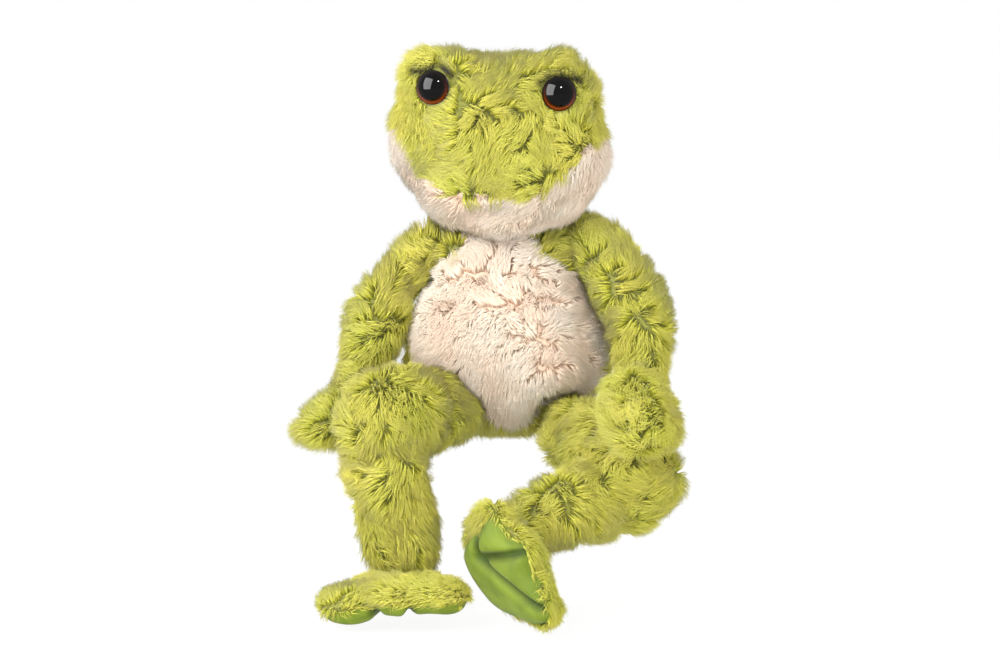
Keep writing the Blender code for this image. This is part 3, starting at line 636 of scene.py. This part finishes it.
def fibres(name, roots, middle, tip, bent, shade, dark, look, rng):
    """One mesh of closed three-sided fibres, bent or straight, with shades and a bake map.

    A bent fibre is a cap, a shaft and a point, and a straight one a cap and a point. Each has a
    square of the bake map to itself.
    """
    order = np.argsort(~bent, kind="stable")
    roots, middle, tip, shade, dark = (each[order] for each in (roots, middle, tip, shade, dark))
    count, curved = len(roots), int(bent.sum())
    side = unit(np.cross(unit(middle - roots), rng.normal(size=roots.shape)))
    other = np.cross(unit(middle - roots), side)
    turns = 2 * math.pi * np.arange(3) / 3
    spread = side[:, None] * np.cos(turns)[:, None] + other[:, None] * np.sin(turns)[:, None]
    spread *= FIBRE_WIDTH / 2 * rng.uniform(*WIDTHS, (count, 1, 1))
    low, high = roots[:, None] + spread, middle[:, None] + spread * FIBRE_BEND
    base = [(2, 1, 0)]
    bend, cone = list(base), list(base)
    for k in range(3):
        after = (k + 1) % 3
        bend += [(k, after, 3 + after), (k, 3 + after, 3 + k), (3 + k, 3 + after, 6)]
        cone.append((k, after, 3))
    cap = ((0.15, 0.1), (0.85, 0.1), (0.5, 0.2))
    shaft = ((0.15, 0.1), (0.85, 0.1), (0.85, 0.5), (0.15, 0.1), (0.85, 0.5), (0.15, 0.5))
    point = ((0.15, 0.5), (0.85, 0.5), (0.5, 0.9))
    taper = ((0.15, 0.1), (0.85, 0.1), (0.5, 0.9))
    kinds = (
        (0, curved, np.concatenate((low, high, tip[:, None]), axis=1), bend, cap + 3 * (shaft + point),
         (0, 0, 0, 0.5, 0.5, 0.5, 1)),
        (curved, count, np.concatenate((low, tip[:, None]), axis=1), cone, cap + 3 * taper,
         (0, 0, 0, 0.9)),
    )
    across = math.ceil(math.sqrt(count))
    cell = np.arange(count)
    corner = np.stack((cell % across, cell // across), axis=1) / across
    co, corners, spots, tints, start = [], [], [], [], 0
    for first, last, places, shape, unwrapped, along in kinds:
        number, ring = last - first, len(along)
        co.append(places[first:last].reshape(-1, 3))
        index = np.arange(number)[:, None] * ring + np.array(shape).reshape(1, -1)
        corners.append((start + index).ravel())
        start += number * ring
        spots.append((corner[first:last, None] + np.array(unwrapped) / across).reshape(-1, 2))
        tint = np.ones((number, ring, 4), np.float32)
        tint[:, :, 0] = along
        tint[:, :, 1] = shade[first:last, None]
        tint[:, :, 2] = dark[first:last, None]
        tints.append(tint.reshape(-1, 4))
    mesh = bpy.data.meshes.new(name)
    co, corners = np.concatenate(co), np.concatenate(corners)
    mesh.vertices.add(len(co))
    mesh.vertices.foreach_set("co", co.ravel())
    mesh.loops.add(len(corners))
    mesh.loops.foreach_set("vertex_index", corners)
    mesh.polygons.add(len(corners) // 3)
    mesh.polygons.foreach_set("loop_start", np.arange(0, len(corners), 3))
    mesh.update(calc_edges=True)
    mesh.shade_smooth()
    mesh.uv_layers.new(name="OFBake").uv.foreach_set("vector", np.concatenate(spots).ravel())
    tints = np.concatenate(tints).ravel()
    mesh.attributes.new("fibre", "FLOAT_COLOR", "POINT").data.foreach_set("color", tints)
    mesh.materials.append(look)
    made = bpy.data.objects.new(name, mesh)
    scene.collection.objects.link(made)
    return made


def eye_plastic(name):
    """A moulded safety eye: black pupil, amber ring with painted light at its foot and painted shade at
    its top, dark rim, clear gloss.
    """
    made, tree, shader = new_material(name, Roughness=0.03, Specular_IOR_Level=0.16)
    place = add(tree, "ShaderNodeUVMap", uv_map="iris")
    from_middle = add(tree, "ShaderNodeVectorMath", {0: (place, "UV"), 1: (0.5, 0.5, 0.0)},
                      operation="SUBTRACT")
    far = add(tree, "ShaderNodeVectorMath", {0: (from_middle, "Vector")}, operation="LENGTH")
    share = add(tree, "ShaderNodeMath", {0: (far, "Value"), 1: 2.0}, operation="MULTIPLY")
    ring = add(tree, "ShaderNodeValToRGB", {"Fac": (share, "Value")}, (
        (0.0, "#000000"), (0.70, "#000000"), (0.77, "#5a3a22"), (0.86, "#b0703f"), (0.92, "#7a4c2c"),
        (0.96, "#2a1a10"), (1.0, "#120a06")))
    height = add(tree, "ShaderNodeSeparateXYZ", {"Vector": (place, "UV")})
    # Painted light and shade: the ring is brighter towards its foot, as if lit through the dome, and
    # darker towards its top
    glow = add(tree, "ShaderNodeValToRGB", {"Fac": (height, "Y")}, (
        (0.02, "#ffc09a"), (0.24, "#c08a70"), (0.50, "#6e5044"), (0.80, "#1c1310")))
    flecks = add(tree, "ShaderNodeTexNoise", {"Vector": (place, "UV"), "Scale": 34.0, "Detail": 2.0})
    vein = add(tree, "ShaderNodeValToRGB", {"Fac": (flecks, "Fac")}, ((0.3, "#8f7a70"), (0.7, "#ffffff")))
    lit = multiplied(tree, (ring, "Color"), (glow, "Color"))
    veined = multiplied(tree, (lit, 2), (vein, "Color"))
    tree.links.new(veined.outputs[2], shader.inputs["Base Color"])
    return made


def moulded_plastic(name, dark, light):
    """Moulded lock washers: slightly mottled, with the fine grain of the mould."""
    made, tree, shader = new_material(name, Roughness=0.5)
    place = add(tree, "ShaderNodeTexCoord")
    mottle = noise(tree, place, 0.004, 3.0)
    look = add(tree, "ShaderNodeValToRGB", {"Fac": (mottle, "Fac")}, ((0.3, dark), (0.7, light)))
    tree.links.new(look.outputs["Color"], shader.inputs["Base Color"])
    grain = noise(tree, place, 0.0004)
    relief(tree, shader, grain, 0.0001, 0.4)
    return made


# Finishes
GREEN_PILE = faux_fur("tufted_green_faux_fur",
                      ((0.0, "#5e6922"), (0.35, "#c3c13d"), (1.0, "#e7e182")),
                      ((0.35, "#f2f6d6"), (0.65, "#fffbe8")), 0.12)
CREAM_PILE = faux_fur("tufted_cream_faux_fur",
                      ((0.0, "#ecd0b6"), (0.25, "#fdf2e6"), (1.0, "#fffbf4")),
                      ((0.35, "#fbeadc"), (0.65, "#fdf8f0")), 0.05)
GREEN_BACKING = backing_cloth("green_knit_backing", "#6b6c26", "#8a8a34")
CREAM_BACKING = backing_cloth("cream_knit_backing", "#e2c8b0", "#efdac6")
SOLE_CLOTH = short_plush("lime_short_plush", "#647624", "#77882a")
EYE = eye_plastic("amber_safety_eye")
WASHER = moulded_plastic("moulded_washer", "#d2d2cc", "#e4e4de")

# Hides of the stuffed forms
head = make_hide("head_hide", ("head_crown", "jaw_panel", "head_stuffing"), GREEN_BACKING)
torso = make_hide("body_hide", ("body_skin", "belly_panel", "body_stuffing", "bean_pouch"), GREEN_BACKING)
neck = make_hide("neck_hide", ("neck",), GREEN_BACKING)
hides = {"head": head, "body": torso, "neck": neck}
pads = {}
for side in ("right", "left"):
    hides[side + "_arm"] = make_hide(side + "_arm_hide", (
        side + "_arm_skin", side + "_arm_stuffing", side + "_hand_skin", side + "_hand_stuffing",
    ), GREEN_BACKING, LIMB_VOXEL)
    hides[side + "_leg"] = make_hide(side + "_leg_hide", (
        side + "_thigh_skin", side + "_thigh_stuffing", side + "_shin_skin", side + "_shin_stuffing",
    ), GREEN_BACKING, LIMB_VOXEL)
    foot = (side + "_foot_upper", side + "_foot_stuffing", side + "_foot_sole")
    hides[side + "_foot"] = make_hide(side + "_foot_hide", foot, GREEN_BACKING, LIMB_VOXEL, foot[:2])
    pads[side] = make_hide(side + "_sole_pad", foot, SOLE_CLOTH, SOLE_VOXEL, foot[2:])

# Where the eyes sit: their middle and axis, from the round washers, and the lens's depth on it
eye_places = {}
for side in ("right", "left"):
    ring = points(frame["nodes"][side + "_eye_washer"])
    middle = ring.mean(axis=0)
    axis = np.linalg.svd(ring - middle, full_matrices=False)[2][2]
    axis *= -np.sign(axis[1])
    depth = (points(frame["nodes"][side + "_eye_lens"]) - middle) @ axis
    eye_places[side] = (middle, axis, depth.min())


def from_eyes(places):
    """How far each place lies from the nearer eye's rim, measured from the axis."""
    far = []
    for middle, axis, low in eye_places.values():
        out = (places - middle - axis * low) @ axis
        beside = np.linalg.norm(places - middle - axis * low - out[:, None] * axis, axis=1)
        far.append(np.where(np.abs(out) < EYE_ALONG, beside - EYE_RADIUS, FAR_AWAY))
    return np.min(far, axis=0)


def foot_frame(side):
    """The foot's axes as rows (across, back, up) and, in them, its middle and half sizes."""
    up = -SOLE_FACES[side].normalized()
    back = -(TOES[side] - up * TOES[side].dot(up)).normalized()
    axes = np.array((back.cross(up), back, up))
    halves = [points(frame["nodes"][side + half]) for half in ("_foot_upper", "_foot_sole")]
    spots = np.concatenate(halves) @ axes.T
    low, high = spots.min(axis=0), spots.max(axis=0)
    return axes, (low + high) / 2, (high - low) / 2


def inside_sole(side, hide):
    """How far each point of a foot's underside lies inside the edge of the flat, less the rim."""
    axes, middle, half = foot_frame(side)
    facing = unit(-axes[2] - PAD_TURNS[side] * axes[1])
    under = points(hide) @ axes[2] < middle[2]
    flat = (normals(hide) @ facing > SOLE_FLAT) & under
    edge = tree_of(points(hide)[under & ~flat])
    far = np.full(len(flat), -SOLE_RIM)
    far[flat] += nearest(edge, points(hide)[flat])[1]
    spots = (points(hide) @ axes.T - middle)[:, :2]
    starts = spots - np.array(PAD_STARTS[side]) * half[:2]
    ends = PAD_ENDS[side] * half[1] - spots[:, 1]
    return np.minimum(np.minimum(far, starts.min(axis=1)), ends)


def segment_distance(spots, start, end):
    """How far flat spots lie from a straight line between two ends."""
    along = end - start
    share = np.clip((spots - start) @ along / (along @ along), 0, 1)
    return np.linalg.norm(spots - start - share[:, None] * along, axis=1)


def swell_sole(side):
    """Raises the padded sole out of a copy of the foot, with the creases between its pads."""
    pad = pads[side]
    axes, middle, half = foot_frame(side)
    inside = inside_sole(side, pad)
    crown = np.sqrt(1 - (1 - np.clip(inside / SOLE_ROUND, 0, 1)) ** 2)
    spots = ((points(pad) @ axes.T) - middle)[:, :2]
    deep = np.zeros(len(spots))
    for start, end in CREASES[side]:
        far = segment_distance(spots, np.array(start) * half[:2], np.array(end) * half[:2])
        deep = np.maximum(deep, np.exp(-(far / SOLE_CREASE_WIDE) ** 2))
    move = np.outer(SOLE_CREASE * deep * crown - SOLE_SWELL * crown, axes[2])
    put_points(pad, points(pad) + move - normals(pad) * (FOOT_SINK + 0.001) * (1 - crown)[:, None])
    apply(pad, "SMOOTH", factor=0.5, iterations=2)
    # The crease depth goes to the fold attribute, which the sole's material turns into painted shade
    pad.data.attributes.new("fold", "FLOAT", "POINT").data.foreach_set("value", deep)


sole_trees = {}
for number, (name, hide) in enumerate(hides.items()):
    if name.endswith("foot"):
        swell_sole(name[:-5])
        far = inside_sole(name[:-5], hide)
        sole_trees[name[:-5]] = (tree_of(points(hide)), far)
        draw_in(hide, FOOT_SINK)
        continue
    lump(hide, 40 + number, BODY_RISE if name == "body" else LUMP_RISE)
    if name == "head":
        close = np.clip(from_eyes(points(hide)) / EYE_REACH, 0, 1)
        draw_in(hide, EYE_SINK + (SINK - EYE_SINK) * close)
    else:
        draw_in(hide, SINK)


forms = {name: (tree_of(points(hide)), points(hide), normals(hide)) for name, hide in hides.items()}


def uncovered(own, roots, by=0.001):
    """True for roots that don't lie inside the hide of another form."""
    held = np.ones(len(roots), bool)
    for name, (tree, co, out) in forms.items():
        if name != own:
            low, high = co.min(axis=0), co.max(axis=0)
            left = np.nonzero(held & ((roots > low) & (roots < high)).all(axis=1))[0]
            if len(left):
                near, _ = nearest(tree, roots[left])
                deep = -((roots[left] - co[near]) * out[near]).sum(axis=1)
                held[left[deep > by]] = False
    return held


surfaces = {
    node: BVHTree.FromPolygons(
        [v.co for v in frame["nodes"][node].data.vertices],
        [tuple(p.vertices) for p in frame["nodes"][node].data.polygons])
    for node in ("head_crown", "jaw_panel", "body_skin", "belly_panel")
}


def nearer(first, second, places):
    """True for places that lie nearer the first CAD node than the second."""
    return np.array([
        surfaces[first].find_nearest(place)[3] < surfaces[second].find_nearest(place)[3]
        for place in (Vector(place) for place in places)
    ])


def on_jaw(places):
    """True for places on the cream jaw, whose seam is the mouth."""
    lower = np.interp(places[:, 0], *MOUTH_LOWER)
    return nearer("jaw_panel", "head_crown", places + np.outer(lower, (0, 0, 1)))


def on_belly(places):
    """True for places on the cream belly, which narrows at the neck and hangs between the thighs."""
    lower = np.interp(-places[:, 2], -np.array(BELLY_DROP[0]), BELLY_DROP[1])
    found = nearer("belly_panel", "body_skin", places + np.outer(lower, (0, 0, 1)))
    between, above = BELLY_NECK
    neck = (places[:, 0] > between[0]) & (places[:, 0] < between[1]) & (places[:, 2] > above)
    found |= neck & (places[:, 1] < 0)
    found &= (places[:, 0] > BELLY_SIDES[0]) & (places[:, 0] < BELLY_SIDES[1])
    found &= places[:, 2] > np.interp(places[:, 0], *BELLY_FOOT)
    return found & (places[:, 2] < np.interp(places[:, 0], *BELLY_TOP))


def checked(own, chosen):
    """A keep function: the roots that chosen picks and that no other form covers."""
    def keep(roots):
        held = chosen(roots)
        held[held] = uncovered(own, roots[held])
        return held
    return keep


def pile(name, own, look, length, chosen, **more):
    """The pile of a form's hide, with the form's own seed."""
    seed = 100 + 7 * list(hides).index(own)
    made = grow_pile(name, hides[own], look, length, seed, checked(own, chosen), **more)
    return made


def everywhere(roots):
    return np.ones(len(roots), bool)


def on_crown(roots):
    held = from_eyes(roots) > EYE_CLEAR
    held[held] = ~on_jaw(roots[held])
    return held


def on_green_body(roots):
    return ~on_belly(roots)


def on_half(sign, middle, chosen):
    """A chooser for what lies to one side of the middle, so that no mesh grows too large."""
    def half(roots):
        held = (roots[:, 0] - middle) * sign > 0
        held[held] = chosen(roots[held])
        return held
    return half


def on_upper(side):
    """A chooser for the furry part of a foot, outside its sole."""
    def chosen(roots):
        tree, far = sole_trees[side]
        return far[nearest(tree, roots)[0]] < 0
    return chosen


def under_lids(places):
    """How deep each place lies in the hollow that a lid of pile leaves, from 0 to 1: the weight of the
    painted shade there, and of the shorter pile.
    """
    far = np.full(len(places), FAR_AWAY)
    for side, (middle, axis, low) in eye_places.items():
        upright = unit(np.array((0, 0, 1)) - axis * axis[2])
        spots = (places - middle) @ np.stack((np.cross(upright, axis), upright), axis=1)
        near = (places - middle) @ axis > low - LID_DEEP
        for start, end in zip(LIDS[side], LIDS[side][1:]):
            edge = segment_distance(spots, np.array(start), np.array(end))
            far = np.where(near, np.minimum(far, edge), far)
    return np.exp(-(far / LID_WIDE) ** 2)


def by_eyes(roots):
    """Shorter pile close to the eyes, except above them, where it hangs over as a lid."""
    level = np.mean([middle[2] for middle, _, _ in eye_places.values()])
    above = roots[:, 2] > level + EYE_RADIUS * ABOVE_EYES
    size = np.where(above, ABOVE_LENGTH, RIM_LENGTH) + RIM_GROWS * from_eyes(roots) / EYE_REACH
    return np.clip(size, 0, 1) * (1 - LID_CUT * under_lids(roots))


# The cream panels' backing, and the pile of head, body and neck
for hide, panel in ((head, on_jaw), (torso, on_belly)):
    hide.data.materials.append(CREAM_BACKING)
    middles = np.array([face.center for face in hide.data.polygons])
    hide.data.polygons.foreach_set("material_index", panel(middles).astype(int))
for side, sign in (("right", -1), ("left", 1)):
    # The crown's pile takes painted shade in the hollows under the lids
    crown = pile(side + "_crown_pile", "head", GREEN_PILE, GREEN_LENGTH,
                 on_half(sign, CROWN_MIDDLE, on_crown), shorter=by_eyes, shaded=under_lids,
                 bias=(0, 0, -0.35), fan=0.8)
    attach(crown, "head")
jaw = pile("jaw_pile", "head", CREAM_PILE, CREAM_LENGTH, on_jaw, bias=(0, 0, -1.0), fan=0.4, parted=0.4)
belly = pile("belly_pile", "body", CREAM_PILE, CREAM_LENGTH, on_belly, bias=(0, 0, -0.9), thick=1.05,
             fan=0.2, parted=0.4, lean=(24, 32, 10))
for side, sign in (("right", -1), ("left", 1)):
    back = pile(side + "_body_pile", "body", GREEN_PILE, GREEN_LENGTH,
                on_half(sign, BODY_MIDDLE, on_green_body), thick=0.76)
    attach(back, "body")
ruff = pile("neck_pile", "neck", GREEN_PILE, GREEN_LENGTH, everywhere, thick=0.7, lean=(10, 25, 10))
for piece, body in ((jaw, "head"), (head, "head"), (belly, "body"), (torso, "body"),
                    (neck, "neck"), (ruff, "neck")):
    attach(piece, body)

# The limbs' pile; the transforms of arm and leg pieces are baked into their meshes, and the foot's pieces
# follow the foot
joint_places = {joint["name"]: Vector(joint["pos_m"]) for joint in frame["joints"]}
for side in ("right", "left"):
    shoulder, wrist, hip, knee, ankle = (
        joint_places[side + "_" + name] for name in ("shoulder", "wrist", "hip", "knee", "ankle"))
    arm = pile(side + "_arm_pile", side + "_arm", GREEN_PILE, GREEN_LENGTH, everywhere, thick=0.9)
    leg = pile(side + "_leg_pile", side + "_leg", GREEN_PILE, GREEN_LENGTH, everywhere, thick=0.75)
    foot = pile(side + "_foot_pile", side + "_foot", GREEN_PILE, FOOT_LENGTH, on_upper(side))
    for piece in (arm, hides[side + "_arm"]):
        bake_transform(piece)
    for piece in (leg, hides[side + "_leg"]):
        knee.lerp(hip, 0.2)
        knee.lerp(ankle, 0.3)
        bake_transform(piece)
    for piece in (foot, hides[side + "_foot"], pads[side]):
        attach(piece, side + "_foot")


def make_eye(side):
    """A low polished dome, coloured with its iris and pupil, as one moulded eye."""
    middle, axis, low = eye_places[side]
    ball = (EYE_RADIUS ** 2 + EYE_DOME ** 2) / (2 * EYE_DOME)
    bpy.ops.object.select_all(action="DESELECT")
    bpy.ops.mesh.primitive_uv_sphere_add(
        segments=64, ring_count=64, radius=ball, location=(0, 0, EYE_DOME - ball))
    eye = bpy.context.object
    eye.name = side + "_eye"
    bpy.ops.object.transform_apply(location=True)
    bpy.ops.object.mode_set(mode="EDIT")
    bpy.ops.mesh.select_all(action="SELECT")
    bpy.ops.mesh.bisect(plane_co=(0, 0, 0), plane_no=(0, 0, 1), clear_inner=True, use_fill=True)
    bpy.ops.mesh.bevel(offset=EYE_RIM, segments=4, affect="EDGES")
    bpy.ops.object.mode_set(mode="OBJECT")
    co = points(eye)
    corners = np.zeros(len(eye.data.loops), int)
    eye.data.loops.foreach_get("vertex_index", corners)
    iris = eye.data.uv_layers.new(name="iris")
    iris.uv.foreach_set("vector", (0.5 + co[corners, :2] / (2 * EYE_RADIUS)).ravel())
    out = Vector(axis)
    upright = (Vector((0, 0, 1)) - out * out.z).normalized()
    turn = Matrix((upright.cross(out), upright, out)).transposed().to_4x4()
    eye.data.transform(Matrix.Translation(Vector(middle) + out * low) @ turn)
    eye.data.shade_smooth()
    eye.data.materials.append(EYE)
    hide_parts(side + "_eye_back", side + "_eye_lens")
    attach(eye, "head")
    washer = frame["nodes"][side + "_eye_washer"]
    washer.data.materials.clear()
    washer.data.materials.append(WASHER)


make_eye("right")
make_eye("left")

# Camera
camera = bpy.data.objects.new("camera", bpy.data.cameras.new("camera"))
scene.collection.objects.link(camera)
camera.data.sensor_width = SENSOR * 1000
camera.data.lens = SENSOR * 1000 * CAMERA_FAR / VIEW_WIDTH
camera.location = CAMERA_AIM + Vector((0, -math.cos(CAMERA_UP), math.sin(CAMERA_UP))) * CAMERA_FAR
camera.rotation_euler = (math.pi / 2 - CAMERA_UP, 0, 0)
scene.camera = camera
scene.view_settings.view_transform = "Standard"

# Floor
bpy.ops.object.select_all(action="DESELECT")
bpy.ops.mesh.primitive_plane_add(size=FLOOR_SIZE, location=(0, 0, cad_box[0][2] - FLOOR_GAP))
floor = bpy.context.object
floor.name = "floor"
FLOOR, tree, shader = new_material("pale_floor", Roughness=0.9)
shader.inputs["Base Color"].default_value = colour("#ffffff")
path = add(tree, "ShaderNodeLightPath")
seen = add(tree, "ShaderNodeMath", {0: (path, "Is Camera Ray"), 1: (path, "Is Glossy Ray")},
           operation="ADD")
most = add(tree, "ShaderNodeMath", {0: (seen, "Value"), 1: FLOOR_GLOW}, operation="MULTIPLY",
           use_clamp=True)
glow = add(tree, "ShaderNodeEmission", {"Color": (1.0, 1.0, 1.0, 1.0), "Strength": FLOOR_WHITE})
mix = add(tree, "ShaderNodeMixShader", {0: (most, "Value"), 1: (shader, "BSDF"), 2: (glow, "Emission")})
tree.links.new(mix.outputs[0], tree.nodes["Material Output"].inputs["Surface"])
floor.data.materials.append(FLOOR)

# Light
world = bpy.data.worlds.new("studio")
scene.world = world
world.use_nodes = True
tree = world.node_tree
sky = tree.nodes["Background"]
sky.inputs["Color"].default_value = (1.0, 1.0, 1.0, 1.0)
sky.inputs["Strength"].default_value = SKY
white = add(tree, "ShaderNodeBackground", {"Color": (1.0, 1.0, 1.0, 1.0), "Strength": 1.0})
path = add(tree, "ShaderNodeLightPath")
direct = add(tree, "ShaderNodeMath", {0: (path, "Is Camera Ray"), 1: (path, "Is Glossy Ray")},
             operation="ADD")
clear = add(tree, "ShaderNodeMath", {0: (direct, "Value"), 1: (path, "Is Transmission Ray")},
            operation="ADD", use_clamp=True)
mix = add(tree, "ShaderNodeMixShader",
          {0: (clear, "Value"), 1: (sky, "Background"), 2: (white, "Background")})
tree.links.new(mix.outputs[0], tree.nodes["World Output"].inputs["Surface"])


def lamp(name, place, size, power, gloss_only=False):
    """A rectangular lamp, or one that only glossy surfaces such as the eyes show."""
    data = bpy.data.lights.new(name, "AREA")
    data.energy = power
    data.shape = "RECTANGLE"
    data.size, data.size_y = size
    made = bpy.data.objects.new(name, data)
    scene.collection.objects.link(made)
    made.location = place
    made.rotation_euler = (CAMERA_AIM - Vector(place)).to_track_quat("-Z", "Y").to_euler()
    made.visible_diffuse = not gloss_only
    made.visible_glossy = gloss_only


lamp("key_light", (-0.62, -1.0, 0.62), (0.6, 0.7), 12)
lamp("front_light", (0.25, -1.5, 0.12), (0.8, 0.8), 14)
lamp("window", (-0.85, -0.75, 0.57), (1.0, 1.3), 70, gloss_only=True)
lamp("glint", (0.33, -1.0, 0.92), (0.10, 0.10), 12, gloss_only=True)
